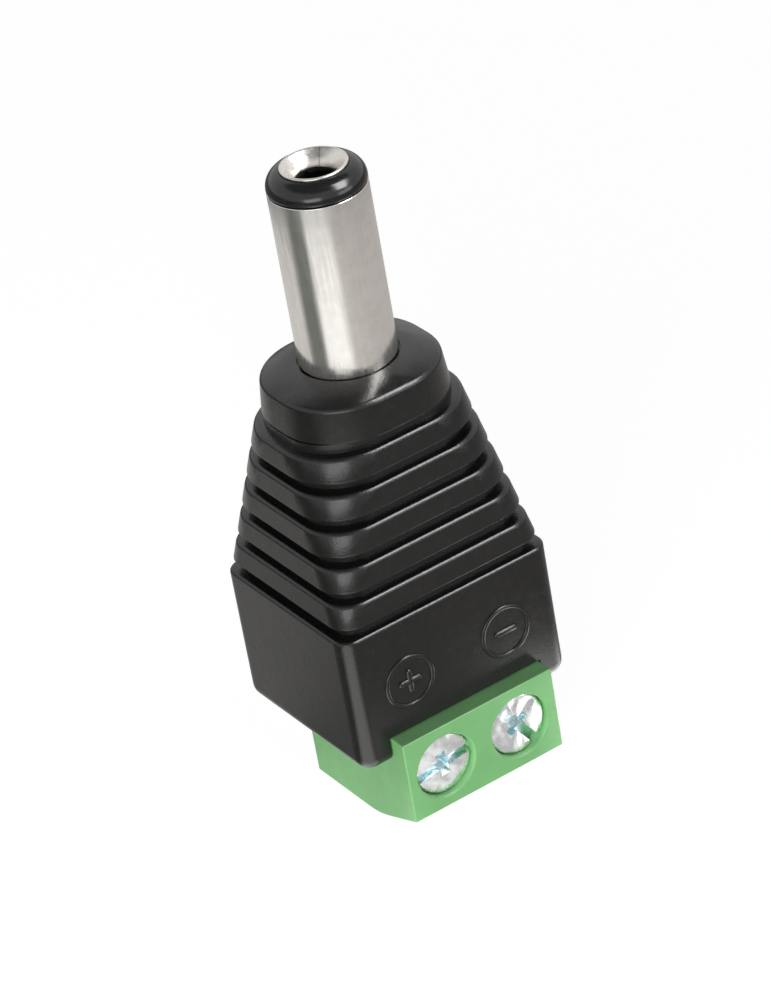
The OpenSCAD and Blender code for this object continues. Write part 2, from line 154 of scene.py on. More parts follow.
class PLUG_PG_barrel(bpy.types.PropertyGroup):
    """Sizes of the metal plug"""

    radius: mm("Radius", "Outside radius of the sleeve", 2.75)
    root_radius: mm("Root radius", "Radius of the sleeve inside the nose", 2.55)
    bore: mm("Sleeve bore", "Inside radius of the sleeve", 2.35)
    bare: mm("Bare length", "Length of bare sleeve above the nose", 10.45)
    tip_height: mm("Tip height", "Height of the black tip", 1.32)
    tip_round: mm("Tip round", "Round of the tip's shoulder", 0.95)
    pin_bore: mm("Pin bore", "Radius of the bore for the centre pin", 1.05)
    tube_wall: mm("Tube wall", "Wall of the centre contact's tube", 0.28)
    tube_floor: mm("Tube floor", "Floor of the pin bore", 0.8)
    mouth_radius: mm("Mouth radius", "Outside radius of the flared mouth", 1.88)
    mouth_height: mm("Mouth height", "Height of the flare", 0.85)
    mouth_curve: number("Mouth curve", "Curve of the flare: 1 is a plain cone", 1.5)
    lip: mm("Lip", "Thickness of its lip", 0.14)
    seam: mm("Seam", "Width of the seam", 0.03)
    seam_turn: angle("Seam turn", "Turn of the seam from the back", 45)
    seat_depth: mm("Seat depth", "Depth of its seat below the nose top", 4.3)
    flange: mm("Flange", "Thickness of the flange", 1.0)
    tail: mm("Tail", "Length of sleeve below the flange", 1.2)
    spigot: mm("Spigot", "Depth of the rear insulator in the sleeve", 1.3)
    collar: mm("Collar", "Length of the rear insulator's collar", 0.8)
    tab: mm("Tab", "Thickness of the solder tabs", 0.4)
    plug_bore: mm("Plug bore", "Bore for the flange", 3.6)
    rivet_radius: mm("Tail radius", "Radius of the centre contact's tail", 0.75)
    rivet_height: mm("Rivet height", "Height of the riveted head", 0.35)
    gap: mm("Gap", "Gap round pushed-in pieces", 0.03)


class PLUG_PG_terminal(bpy.types.PropertyGroup):
    """Sizes of the terminal block and its clamps"""

    pitch: mm("Pole pitch", "Distance between the two terminals", 5.08)
    proud: mm("Front step", "How far the front stands proud", 1.09)
    depth: mm("Depth", "Depth of the block", 10.17)
    height: mm("Height", "Height of the block", 7.6)
    shoulder_z: mm("Shoulder height", "Height of the front shoulder", 6.55)
    chin: mm("Chin", "Height of the lower front edge", 1.39)
    base: mm("Base depth", "Depth of the flat wire-entry face", 6.18)
    chin_round: mm("Chin round", "Round where the chin meets the base", 6.0)
    edge: mm("Edge", "Round on the block's edges", 0.09)
    screw_z: mm("Screw height", "Height of the screws", 3.95)
    hole_radius: mm("Hole radius", "Radius of the screw holes", 1.9)
    hole_edge: mm("Hole edge", "Round of the screw holes' mouths", 0.14)
    entry_radius: mm("Entry radius", "Radius of the wire entries", 1.4)
    entry_flare: mm("Entry flare", "How much wider their mouths are", 0.4)
    entry_y: mm("Entry place", "Their place along the depth", 0.525)
    floor: mm("Floor", "Thickness of the block's floor", 1.6)
    bay_width: mm("Bay width", "Width of each cage's bay", 3.9)
    bay_top: mm("Bay top", "Height of the top of the bays", 6.98)
    recess: mm("Head recess", "Depth of the head below the front", 0.34)
    head: mm("Head height", "Height of the screw's head", 1.7)
    head_edge: mm("Head edge", "Round along the rim of its face", 0.16)
    seat: mm("Seat", "Wall that the head turns on", 0.75)
    thread: mm("Thread radius", "Radius of the screw's thread", 1.25)
    run_gap: mm("Running gap", "Radial clearance of the screws", 0.05)
    screw_end: mm("Screw end", "Its place along the depth", -1.05)
    screw_point: mm("Screw point", "Taper at the screw's end", 0.25)
    slot_width: mm("Slot width", "Width of the long slot", 0.56)
    slot_depth: mm("Slot depth", "Depth of the long slot", 0.55)
    cross_width: mm("Cross width", "Width of the cross recess", 0.74)
    cross_span: mm("Cross span", "Span of the cross recess", 2.0)
    cross_depth: mm("Cross depth", "Depth of the cross recess", 0.9)
    turn_positive: angle("Positive turn", "Turn of the positive screw's slot", 8)
    turn_negative: angle("Negative turn", "Turn of the negative screw's slot", 124)


class PLUG_PG_finish(bpy.types.PropertyGroup):
    """Colours of the finishes"""

    black: colour("Housing", "Black moulded plastic", (0.009, 0.0088, 0.0085))
    tip: colour("Tip", "Black plastic of the tip", (0.0085, 0.0088, 0.0096))
    green: colour("Terminal block", "Green moulded plastic", (0.2, 0.5, 0.19))
    nickel: colour("Plating", "Nickel plating of the sleeve", (0.8, 0.775, 0.745))
    contact: colour("Contact", "Plating of the centre contact", (0.64, 0.615, 0.58))
    zinc: colour("Screws", "Bright zinc of the screws", (0.86, 0.87, 0.88))
    zinc_tint: colour("Screw tint", "Blue cast of the zinc", (0.55, 0.74, 0.79))
    steel: colour("Cages", "Plated steel of the cages", (0.62, 0.62, 0.6))
    brass: colour("Tabs", "Brass of the solder tabs", (0.8, 0.6, 0.3))
    tin: colour("Contacts", "Tinned brass of the strips", (0.74, 0.71, 0.6))
    nylon: colour("Insulator", "Natural nylon of the insulator", (0.78, 0.72, 0.6))


class PLUG_PG_stage(bpy.types.PropertyGroup):
    """Camera, floor and studio light"""

    lens: number("Lens", "Focal length", 165.659, "CAMERA")
    key: number("Key light", "Power of the front-left softbox", 1.1)
    fill: number("Fill light", "Power of the front-right softbox", 0.22)
    glint: number("Glint", "Strength of the overhead card", 15.0)
    ambient: number("Ambient", "Strength of the world's soft light", 0.15)
    floor_white: number("Floor white", "Share of plain white in the floor", 0.74)
    floor_glow: number("Floor glow", "Strength of that plain white", 1.26)


GROUPS = {
    "plug_housing": PLUG_PG_housing,
    "plug_barrel": PLUG_PG_barrel,
    "plug_terminal": PLUG_PG_terminal,
    "plug_finish": PLUG_PG_finish,
    "plug_stage": PLUG_PG_stage,
}


def sizes(name):
    """The values of a property group, with lengths in millimetres."""
    group = getattr(bpy.context.scene, name)
    values = {}
    for prop in group.bl_rna.properties:
        if prop.identifier in ("rna_type", "name"):
            continue
        value = getattr(group, prop.identifier)
        values[prop.identifier] = value * MM if prop.unit == "LENGTH" else value
    return SimpleNamespace(**values)


def heights(h, b):
    """Heights of the stacked forms, in millimetres."""
    z = SimpleNamespace()
    z.box_top = h.rim_z + h.box_height
    z.chamber_top = z.box_top - h.wall
    z.boot_foot = z.box_top + h.groove_height
    z.boot_top = z.box_top + h.rib_count * h.rib_pitch
    z.nose_z = z.boot_top + h.groove_height
    z.nose_top = z.nose_z + h.nose_height
    z.sleeve_top = z.nose_top + b.bare
    z.tip_top = z.sleeve_top + b.tip_height
    z.mouth_z = z.tip_top - b.mouth_height
    z.flange_top = z.nose_top - b.seat_depth
    z.flange_z = z.flange_top - b.flange
    z.sleeve_z = z.flange_z - b.tail
    z.tube_z = z.sleeve_z + b.spigot + b.gap
    return z


# Modelling helpers


def bevel(bm, geom, width, segments, affect="EDGES"):
    """Rounds edges, or the corners of a flat outline."""
    bmesh.ops.bevel(
        bm, geom=geom, offset=width, offset_type="OFFSET", affect=affect, segments=segments,
        profile=0.5, material=-1, clamp_overlap=affect == "EDGES",
    )


def spin(bm, geom, steps, axis="Z", centre=ORIGIN, turn=FULL_TURN):
    """Sweeps an outline round an axis, and closes a full turn."""
    bmesh.ops.spin(
        bm, geom=geom, cent=centre, axis=AXES[axis], dvec=(0, 0, 0), angle=turn, steps=steps,
        use_merge=turn == FULL_TURN,
    )


def move(bm, verts, step):
    bmesh.ops.translate(bm, vec=step, verts=verts)


def stretch(bm, verts, factors):
    bmesh.ops.scale(bm, vec=factors, verts=verts)


def rotate(bm, verts, turn, axis="Y"):
    """Turns points round an axis through the origin."""
    bmesh.ops.rotate(bm, cent=ORIGIN, matrix=Matrix.Rotation(turn, 3, axis), verts=verts)


def ring(bm, z, width, depth, radius, steps):
    """Edges of a round-cornered rectangle at height z: a square with its corners bevelled."""
    before = set(bm.edges)
    verts = bmesh.ops.create_grid(bm, x_segments=1, y_segments=1, size=0.5)["verts"]
    stretch(bm, verts, (width, depth, 1))
    move(bm, verts, (0, 0, z))
    bevel(bm, verts, radius, steps, "VERTICES")
    edges = [e for e in bm.edges if e not in before]
    faces = {f for e in edges for f in e.link_faces}
    bmesh.ops.delete(bm, geom=list(faces), context="FACES_ONLY")
    return edges


def arc(steps, degrees=90):
    """(1 - cos, 1 - sin) pairs along an arc, in equal steps."""
    angles = (math.radians(degrees * i / steps) for i in range(steps + 1))
    return [(1 - math.cos(a), 1 - math.sin(a)) for a in angles]


def round_over(z, radius, steps, down):
    """(height, set-back) pairs of a quarter round that starts or ends on a flat at height z."""
    pairs = [(z + radius * (-c if down else c), radius * s) for c, s in arc(steps)]
    return pairs[::-1] if down else pairs


def skin(bm, levels, steps):
    """Bridges a stack of rings and closes both ends. A level is (z, width, depth, radius)."""
    rings = [ring(bm, *level, steps) for level in levels]
    for low, high in zip(rings, rings[1:]):
        bmesh.ops.bridge_loops(bm, edges=low + high)
    bmesh.ops.edgeloop_fill(bm, edges=rings[0])
    bmesh.ops.edgeloop_fill(bm, edges=rings[-1])


def lathe(bm, points, steps=128, centre=ORIGIN, axis="Z", closed=True):
    """Spins a profile of (radius, height) points round an axis, with heights from the centre."""
    (x, y, z), (_, along_y, along_z) = centre, AXES[axis]
    verts = [bm.verts.new((x + r, y + h * along_y, z + h * along_z)) for r, h in points]
    pairs = list(zip(verts, verts[1:]))
    if closed:
        pairs.append((verts[-1], verts[0]))
    spin(bm, verts + [bm.edges.new(p) for p in pairs], steps, axis, centre)
    bmesh.ops.remove_doubles(bm, verts=bm.verts, dist=MERGE)


def soften(bm, rounds, segments=3, centre=ORIGIN, axis="Z"):
    """Rounds a lathed form's circular edges. rounds: {(radius, height): width of the round}."""
    along, start = Vector(AXES[axis]), Vector(centre)

    def lies_at(vert, radius, height):
        reach = vert.co - start
        up = reach.dot(along)
        return abs((reach - along * up).length - radius) < TOUCH and abs(up - height) < TOUCH

    for place, width in rounds.items():
        chosen = [e for e in bm.edges if all(lies_at(v, *place) for v in e.verts)]
        bevel(bm, chosen, width, segments)


def box(bm, low, high):
    """A box from its lowest to its highest corner."""
    low, high = Vector(low), Vector(high)
    verts = bmesh.ops.create_cube(bm, size=1)["verts"]
    stretch(bm, verts, high - low)
    move(bm, verts, (low + high) / 2)
    return verts


def face_outwards(bm):
    """Turns all faces outwards: a closed shape's signed volume is then positive."""
    bmesh.ops.recalc_face_normals(bm, faces=bm.faces)
    if bm.calc_volume(signed=True) < 0:
        bmesh.ops.reverse_faces(bm, faces=bm.faces)


def mesh_from(bm, name):
    """Makes a mesh of a bmesh and frees it."""
    mesh = bpy.data.meshes.new(name)
    bm.to_mesh(mesh)
    bm.free()
    return mesh


def in_scene(name, data):
    """Adds an object to the scene."""
    obj = bpy.data.objects.new(name, data)
    bpy.context.scene.collection.objects.link(obj)
    return obj


def shape(name, build):
    """A loose object, in millimetres, made by build(bm)."""
    bm = bmesh.new()
    build(bm)
    bmesh.ops.remove_doubles(bm, verts=bm.verts, dist=MERGE)
    face_outwards(bm)
    return in_scene(name, mesh_from(bm, name))


def settle(obj):
    """Applies the object's modifiers to its mesh."""
    graph = bpy.context.evaluated_depsgraph_get()
    graph.update()
    mesh = bpy.data.meshes.new_from_object(obj.evaluated_get(graph))
    obj.modifiers.clear()
    obj.data = mesh


def combine(obj, builders, operation="DIFFERENCE"):
    """Cuts or joins shapes, each given by a build function."""
    for build in builders:
        tool = shape("tool", build)
        modifier = obj.modifiers.new("Combine", "BOOLEAN")
        modifier.operation = operation
        modifier.solver = "EXACT"
        modifier.object = tool
        settle(obj)
        bpy.data.objects.remove(tool)


def ease(obj, width, degrees, segments):
    """A small round on the edges that turn by more than the angle."""
    modifier = obj.modifiers.new("Ease", "BEVEL")
    modifier.limit_method = "ANGLE"
    modifier.angle_limit = math.radians(degrees)
    modifier.width = width
    modifier.segments = segments
    settle(obj)


def finish(obj, slot, body, nodes=(), degrees=30):
    """Scales a shape to metres, shades it, dresses it and ties it to the frame."""
    bm = bmesh.new()
    bm.from_mesh(obj.data)
    bmesh.ops.remove_doubles(bm, verts=bm.verts, dist=MERGE)
    bmesh.ops.dissolve_degenerate(bm, edges=bm.edges, dist=MERGE / 10)
    face_outwards(bm)
    stretch(bm, bm.verts, (1 / MM,) * 3)
    mesh = mesh_from(bm, obj.name)
    if not mesh.polygons:
        raise RuntimeError(f"{obj.name} came out empty")
    for polygon in mesh.polygons:
        polygon.use_smooth = True
    mesh.set_sharp_from_angle(angle=math.radians(degrees))
    mesh.materials.append(finish_set()[slot])
    obj.data = mesh
    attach(obj, body)
    if nodes:
        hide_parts(*nodes)
    even = obj.modifiers.new("Even shading", "WEIGHTED_NORMAL")
    even.keep_sharp = True
    even.weight = 100


# Finishes


class Nodes:
    """A node tree, with short ways to add and join its nodes."""

    def __init__(self, owner):
        owner.use_nodes = True
        self.tree = owner.node_tree

    def add(self, kind, **values):
        node = self.tree.nodes.new(kind)
        for key, value in values.items():
            setattr(node, key, value)
        return node

    def link(self, a, b):
        self.tree.links.new(a, b)

    def math(self, operation, a, b):
        """Works on a socket and a second socket or a number."""
        node = self.add("ShaderNodeMath", operation=operation)
        self.link(a, node.inputs[0])
        if isinstance(b, float):
            node.inputs[1].default_value = b
        else:
            self.link(b, node.inputs[1])
        return node.outputs[0]

    def mix(self, factor, a, b):
        """A shader between the shaders of a and b by a factor."""
        node = self.add("ShaderNodeMixShader")
        self.link(factor, node.inputs["Fac"])
        self.link(a.outputs[0], node.inputs[1])
        self.link(b.outputs[0], node.inputs[2])
        return node

    def white(self, kind, strength):
        """A white background or emission."""
        node = self.add(kind)
        node.inputs["Color"].default_value = (1, 1, 1, 1)
        node.inputs["Strength"].default_value = strength
        return node

    def seen(self):
        """1 for camera, glossy and transmission rays."""
        rays = self.add("ShaderNodeLightPath").outputs
        first = self.math("MAXIMUM", rays["Is Camera Ray"], rays["Is Glossy Ray"])
        return self.math("MAXIMUM", first, rays["Is Transmission Ray"])


class Finish(Nodes):
    """A material's node tree, with its shader and Object coordinates to hand."""

    def __init__(self, name, metallic=0.0):
        self.material = bpy.data.materials.new(name)
        super().__init__(self.material)
        self.shader = self.tree.nodes["Principled BSDF"]
        self.shader.inputs["Metallic"].default_value = metallic
        self.coords = self.add("ShaderNodeTexCoord").outputs["Object"]

    def wear(self, colour_socket, rough_socket, normal_socket):
        """Joins the three patterns to the shader."""
        self.link(colour_socket, self.shader.inputs["Base Color"])
        self.link(rough_socket, self.shader.inputs["Roughness"])
        self.link(normal_socket, self.shader.inputs["Normal"])
        return self.material

    def noise(self, size_mm, detail, stretch=None):
        """Noise with features of about size_mm, stretched along an axis if asked."""
        node = self.add("ShaderNodeTexNoise")
        node.inputs["Scale"].default_value = MM / size_mm
        node.inputs["Detail"].default_value = detail
        node.inputs["Roughness"].default_value = 0.55
        source = self.coords
        if stretch:
            mapping = self.add("ShaderNodeMapping")
            mapping.inputs["Scale"].default_value = stretch
            self.link(source, mapping.inputs["Vector"])
            source = mapping.outputs["Vector"]
        self.link(source, node.inputs["Vector"])
        return node.outputs["Fac"]

    def spread(self, value, low, high, start=0.35, end=0.65):
        """Maps the middle of a noise to a range."""
        node = self.add("ShaderNodeMapRange")
        for name, bound in (
            ("From Min", start), ("From Max", end), ("To Min", low), ("To Max", high)
        ):
            node.inputs[name].default_value = bound
        self.link(value, node.inputs["Value"])
        return node.outputs["Result"]

    def fade(self, axis, start_mm, end_mm):
        """0 to 1 between two places along an axis."""
        place = self.add("ShaderNodeSeparateXYZ")
        self.link(self.coords, place.inputs["Vector"])
        return self.spread(place.outputs[axis], 0, 1, start_mm / MM, end_mm / MM)

    def blend(self, factor, a, b):
        """A colour between a and b by a factor."""
        node = self.add("ShaderNodeMix", data_type="RGBA")
        node.inputs["A"].default_value = (*a, 1)
        node.inputs["B"].default_value = (*b, 1)
        self.link(factor, node.inputs["Factor"])
        return node.outputs["Result"]

    def vary(self, size_mm, detail, base, share, *middle):
        """Clouds of a colour that is lighter and darker by a share."""
        cloud = self.spread(self.noise(size_mm, detail), 0, 1, *middle)
        return self.blend(cloud, tone(base, 1 - share), tone(base, 1 + share))

    def bump(self, value, depth_mm, before=None):
        node = self.add("ShaderNodeBump")
        node.inputs["Distance"].default_value = depth_mm / MM
        self.link(value, node.inputs["Height"])
        if before is not None:
            self.link(before, node.inputs["Normal"])
        return node.outputs["Normal"]


def tone(base, factor):
    return tuple(min(1.0, c * factor) for c in base)


def moulded(name, base, rough, grain_mm, grain_depth, vary, specular):
    """Injection-moulded plastic: fine grain, faint flow marks, uneven gloss."""
    g = Finish(name)
    cloud = g.vary(2.2, 5, base, vary)
    gloss = g.spread(g.noise(size_mm=0.5, detail=6), rough - 0.03, rough + 0.05)
    ripple = g.bump(g.noise(size_mm=1.6, detail=2), depth_mm=0.012)
    grain = g.bump(g.noise(grain_mm, detail=3), grain_depth, ripple)
    g.shader.inputs["Specular IOR Level"].default_value = specular
    return g.wear(cloud, gloss, grain)


def plated(name, base, rough, streak, vary, grain_depth):
    """Plated metal: drawing marks along the streak, slight stains."""
    g = Finish(name, metallic=1.0)
    stains = g.vary(0.8, 4, base, vary, 0.4, 0.6)
    marks = g.noise(size_mm=0.12, detail=4, stretch=streak)
    gloss = g.spread(marks, rough - 0.05, rough + 0.07)
    return g.wear(stains, gloss, g.bump(marks, grain_depth))


def zinc(name, base, tint, face_y):
    """Bright zinc: an uneven forged face; in the recess behind face_y the colour turns, in patches,
    to a darker blue tint.
    """
    g = Finish(name, metallic=1.0)
    # Mask of the recess behind the face, where the darker blue tint is laid in patches
    sunk = g.fade("Y", face_y + 0.03, face_y + 0.35)
    patch = g.spread(g.noise(size_mm=0.7, detail=3), 0.35, 1.0, 0.4, 0.6)
    gloss = g.spread(g.noise(size_mm=0.35, detail=4), 0.2, 0.34)
    dents = g.bump(g.noise(size_mm=1.2, detail=1), depth_mm=0.26)
    grain = g.bump(g.noise(size_mm=0.2, detail=3), 0.002, dents)
    return g.wear(g.blend(g.math("MULTIPLY", sunk, patch), base, tint), gloss, grain)


def contact_with_painted_bore_shade(name, base, mouth_z):
    """Plated contact with painted shade down the bore: below mouth_z its colour darkens to a tenth.
    """
    g = Finish(name, metallic=1.0)
    # Painted shade down the bore: 0 below the mouth, 1 on it
    up = g.fade("Z", mouth_z - 0.25, mouth_z + 0.3)
    gloss = g.spread(g.noise(size_mm=0.4, detail=4), 0.24, 0.38)
    grain = g.bump(g.noise(size_mm=0.12, detail=4), depth_mm=0.0012)
    # Where that fade is 0 the colour is darkened to a tenth: the bore's painted shade
    return g.wear(g.blend(up, tone(base, 0.1), base), gloss, grain)


def finish_set():
    """The finishes by material slot, made once and found again by name."""
    c, h, t, b = (sizes(f"plug_{group}") for group in ("finish", "housing", "terminal", "barrel"))
    head_y = -(h.depth / 2 + t.proud) + t.recess
    # After the colour. Moulded: roughness, grain size and depth, colour's share, specular level.
    # Plated: roughness, streak, colour's share, depth of the marks.
    made = {
        "black_plastic": ("black moulding", moulded, c.black, 0.23, 0.12, 0.011, 0.06, 0.42),
        "tip_plastic": ("black tip", moulded, c.tip, 0.17, 0.2, 0.001, 0.05, 0.44),
        "green_plastic": ("green moulding", moulded, c.green, 0.42, 0.2, 0.0025, 0.05, 0.45),
        "insulator_plastic": ("natural nylon", moulded, c.nylon, 0.5, 0.3, 0.003, 0.06, 0.45),
        "nickel": ("nickel plating", plated, c.nickel, 0.17, (1, 1, 0.04), 0.03, 0.0009),
        "cage_steel": ("cage plating", plated, c.steel, 0.33, (1, 1, 0.1), 0.1, 0.002),
        "tab_brass": ("plain brass", plated, c.brass, 0.32, (1, 0.1, 1), 0.1, 0.002),
        "tinned_brass": ("tinning", plated, c.tin, 0.36, (0.1, 1, 1), 0.1, 0.002),
        # The contact's finish paints shade down its bore
        "contact_metal": ("contact plating", contact_with_painted_bore_shade, c.contact, heights(h, b).mouth_z),
        "zinc_steel": ("bright zinc", zinc, c.zinc, c.zinc_tint, head_y),
    }
    known = bpy.data.materials
    return {
        slot: known.get(name) or make(name, *values)
        for slot, (name, make, *values) in made.items()
    }


# Operators


def housing_levels(h, z):
    """The housing's outlines from rim to nose top, as skin takes them."""
    rim_steps, edge_steps, nose_steps = 8, 4, 5
    levels = []

    def level(height, width, depth, radius, inset):
        corner = max(radius - inset, LEAST_RADIUS)
        levels.append((height, width - 2 * inset, depth - 2 * inset, corner))

    def plain(height, inset):
        level(height, h.width, h.depth, h.corner_radius, inset)

    def boot(height, inset):
        s = (height - z.boot_foot) / (z.boot_top - z.boot_foot)
        width = h.width - h.rib_step
        radius = h.corner_radius + h.rib_step
        level(height, width + (h.boot_width - width) * s, h.depth + (h.boot_depth - h.depth) * s,
              radius + (h.boot_radius - radius) * s, inset)

    def nose(height, inset):
        lean = h.nose_lean * (height - z.nose_z) / h.nose_height
        level(height, h.nose_width, h.nose_depth, h.nose_radius, inset + lean)

    def rounded(form, height, radius, steps, down):
        for place, inset in round_over(height, radius, steps, down):
            form(place, inset)

    def groove(foot):
        boot(min(foot + h.groove_height, z.boot_top), h.groove_depth)
        _, *outline = levels.pop()
        for height in (foot + h.groove_draft, foot + h.groove_height - h.groove_draft):
            levels.append((height, *outline))

    rounded(plain, h.rim_z, h.rim_radius, rim_steps, down=False)
    rounded(plain, z.box_top, h.rib_edge, edge_steps, down=True)
    for k in range(h.rib_count):
        groove(z.box_top + k * h.rib_pitch)
        foot = z.boot_foot + k * h.rib_pitch
        top = foot + h.rib_pitch - h.groove_height
        rounded(boot, foot, h.rib_foot, edge_steps, down=False)
        rounded(boot, top, h.rib_edge, edge_steps, down=True)
    groove(z.boot_top)
    rounded(nose, z.nose_z, h.rib_foot, edge_steps, down=False)
    rounded(nose, z.nose_top - h.nose_crown, h.nose_edge, nose_steps, down=True)
    level(z.nose_top, 2 * h.nose_flat, 2 * h.nose_flat, h.nose_flat - LEAST_RADIUS, 0)
    return levels


class PLUG_OT_housing(bpy.types.Operator):
    """Build the black housing: box, ribs and nose, with chamber and bores cut out"""

    bl_idname = "plug.housing"
    bl_label = "Housing"

    def execute(self, context):
        h, b, t = sizes("plug_housing"), sizes("plug_barrel"), sizes("plug_terminal")
        z = heights(h, b)
        corner_steps = 14
        levels = housing_levels(h, z)
        obj = shape("housing_shell", lambda bm: skin(bm, levels, corner_steps))
        half = t.pitch + BLOCK_GAP
        front = -h.depth / 2 + h.wall
        back = h.depth / 2 - h.wall
        block_back = -(h.depth / 2 + t.proud) + t.depth
        foot = h.rim_z - PAST
        window_top = t.shoulder_z + BLOCK_GAP
        root_r = b.root_radius + b.gap
        groove_r, groove_z = b.radius + h.foot_groove, z.nose_top - h.foot_groove_depth
        bore = [
            (0, foot), (b.plug_bore, foot), (b.plug_bore, z.flange_top), (root_r, z.flange_top),
            (root_r, groove_z), (groove_r, groove_z), (groove_r, z.nose_top + PAST),
            (0, z.nose_top + PAST),
        ]
        combine(obj, [
            lambda bm: lathe(bm, bore, steps=96, closed=False),
            lambda bm: box(bm, (-half, front, foot), (half, back, z.chamber_top)),
            lambda bm: box(bm, (-half, -h.depth / 2 - PAST, foot),
                           (half, front + OVERLAP, window_top)),
        ])

        def stops(bm):
            for side in (-1, 1):
                left, right = sorted((side * (half + OVERLAP), side * (half + OVERLAP - h.stop)))
                box(bm, (left, block_back + BLOCK_GAP, h.rim_z + h.rim_radius),
                    (right, back + OVERLAP, t.height))
                box(bm, (left, -h.stop, t.height + BLOCK_GAP),
                    (right, h.stop, z.chamber_top + OVERLAP))

        combine(obj, [stops], "UNION")
        finish(obj, "black_plastic", BODY, ["housing"])
        return {"FINISHED"}


class PLUG_OT_marks(bpy.types.Operator):
    """Build the raised polarity marks: a plus and a minus, each in a ring"""

    bl_idname = "plug.marks"
    bl_label = "Polarity marks"

    def execute(self, context):
        h = sizes("plug_housing")

        def placed(bm, verts, x):
            stretch(bm, verts, (1, h.mark_rise, 1))
            move(bm, verts, (x, -h.depth / 2, h.mark_z))

        def bar(bm, x, turn):
            made = bmesh.ops.create_uvsphere(
                bm, u_segments=24, v_segments=16, radius=h.mark_bar / 2
            )["verts"]
            for side in (-1, 1):
                end = [v for v in made if v.co.z * side > MERGE]
                move(bm, end, (0, 0, side * h.mark_span / 2))
            rotate(bm, made, turn)
            placed(bm, made, x)

        def ring_bead(bm, x):
            before = set(bm.verts)
            circle = bmesh.ops.create_circle(bm, segments=20, radius=h.mark_ring / 2)["verts"]
            move(bm, circle, (h.mark_radius, 0, 0))
            edges = list({e for v in circle for e in v.link_edges})
            spin(bm, circle + edges, steps=96, axis="Y")
            placed(bm, [v for v in bm.verts if v not in before], x)

        def build(bm):
            for side in POLES.values():
                ring_bead(bm, side * h.mark_x)
                bar(bm, side * h.mark_x, math.pi / 2)
            bar(bm, POLES["positive"] * h.mark_x, 0)

        finish(shape("polarity_marks", build), "black_plastic", BODY)
        return {"FINISHED"}


class PLUG_OT_plug(bpy.types.Operator):
    """Build the barrel: nickel-plated sleeve, black tip and flared centre contact"""

    bl_idname = "plug.plug"
    bl_label = "Barrel plug"

    def execute(self, context):
        h, b = sizes("plug_housing"), sizes("plug_barrel")
        z = heights(h, b)
        flange_r = b.plug_bore - b.gap

        def sleeve(bm):
            lathe(bm, [
                (b.bore, z.sleeve_z), (b.root_radius, z.sleeve_z), (b.root_radius, z.flange_z),
                (flange_r, z.flange_z), (flange_r, z.flange_top), (b.root_radius, z.flange_top),
                (b.root_radius, z.nose_top), (b.radius, z.nose_top),
                (b.radius, z.sleeve_top), (b.bore, z.sleeve_top),
            ])
            soften(bm, {
                (b.radius, z.sleeve_top): 0.035, (b.radius, z.nose_top): 0.05,
                (flange_r, z.flange_z): 0.1, (flange_r, z.flange_top): 0.05,
            })

        finish(shape("barrel_shell", sleeve), "nickel", BODY, ["barrel_sleeve"])

        tube_r = b.pin_bore + b.tube_wall
        bore_r = tube_r + b.gap
        rim_r = b.mouth_radius + b.gap
        spigot_r = b.bore - b.gap
        shoulder_top = z.tip_top - b.lip
        foot_z = z.sleeve_top + b.gap

        def tip(bm):
            shoulder = [
                (b.radius - b.tip_round * c, shoulder_top - b.tip_round * s) for c, s in arc(16, 80)
            ]
            lathe(bm, [
                (bore_r, z.tube_z), (spigot_r, z.tube_z), (spigot_r, foot_z), (b.radius, foot_z),
                *shoulder, (rim_r, shoulder_top), (bore_r, z.mouth_z),
            ])
            soften(bm, {(b.radius, foot_z): 0.16, (rim_r, shoulder_top): 0.04}, segments=4)

        finish(shape("tip_shell", tip), "tip_plastic", BODY, ["tip_insulator"], degrees=40)

        inner_mouth = b.mouth_radius - b.lip
        rivet_z = z.sleeve_z - b.gap - b.collar - b.gap - b.tab - b.gap
        floor_z = z.tube_z + b.tube_floor

        def contact(bm):
            steps = 14
            widening = inner_mouth - b.pin_bore
            flare = [
                (b.pin_bore + widening * (1 - i / steps) ** b.mouth_curve,
                 z.tip_top - b.mouth_height * i / steps)
                for i in range(steps + 1)
            ]
            lathe(bm, [
                (0, rivet_z - b.rivet_height), (b.rivet_radius, rivet_z - b.rivet_height),
                (b.rivet_radius + b.rivet_height, rivet_z), (b.rivet_radius, rivet_z),
                (b.rivet_radius, z.tube_z), (tube_r, z.tube_z), (tube_r, z.mouth_z),
                (b.mouth_radius, shoulder_top), (b.mouth_radius, z.tip_top), *flare,
                (b.pin_bore, floor_z), (0, floor_z),
            ], closed=False)
            soften(bm, {(b.mouth_radius, z.tip_top): 0.07, (inner_mouth, z.tip_top): 0.05})

        def seam(bm):
            half = b.seam / 2
            verts = box(bm, (-half, 0, floor_z + b.tube_floor), (half, ACROSS, z.tip_top + PAST))
            rotate(bm, verts, -b.seam_turn, "Z")

        obj = shape("contact_tube", contact)
        combine(obj, [seam])
        finish(obj, "contact_metal", BODY, ["centre_contact"], degrees=40)
        return {"FINISHED"}


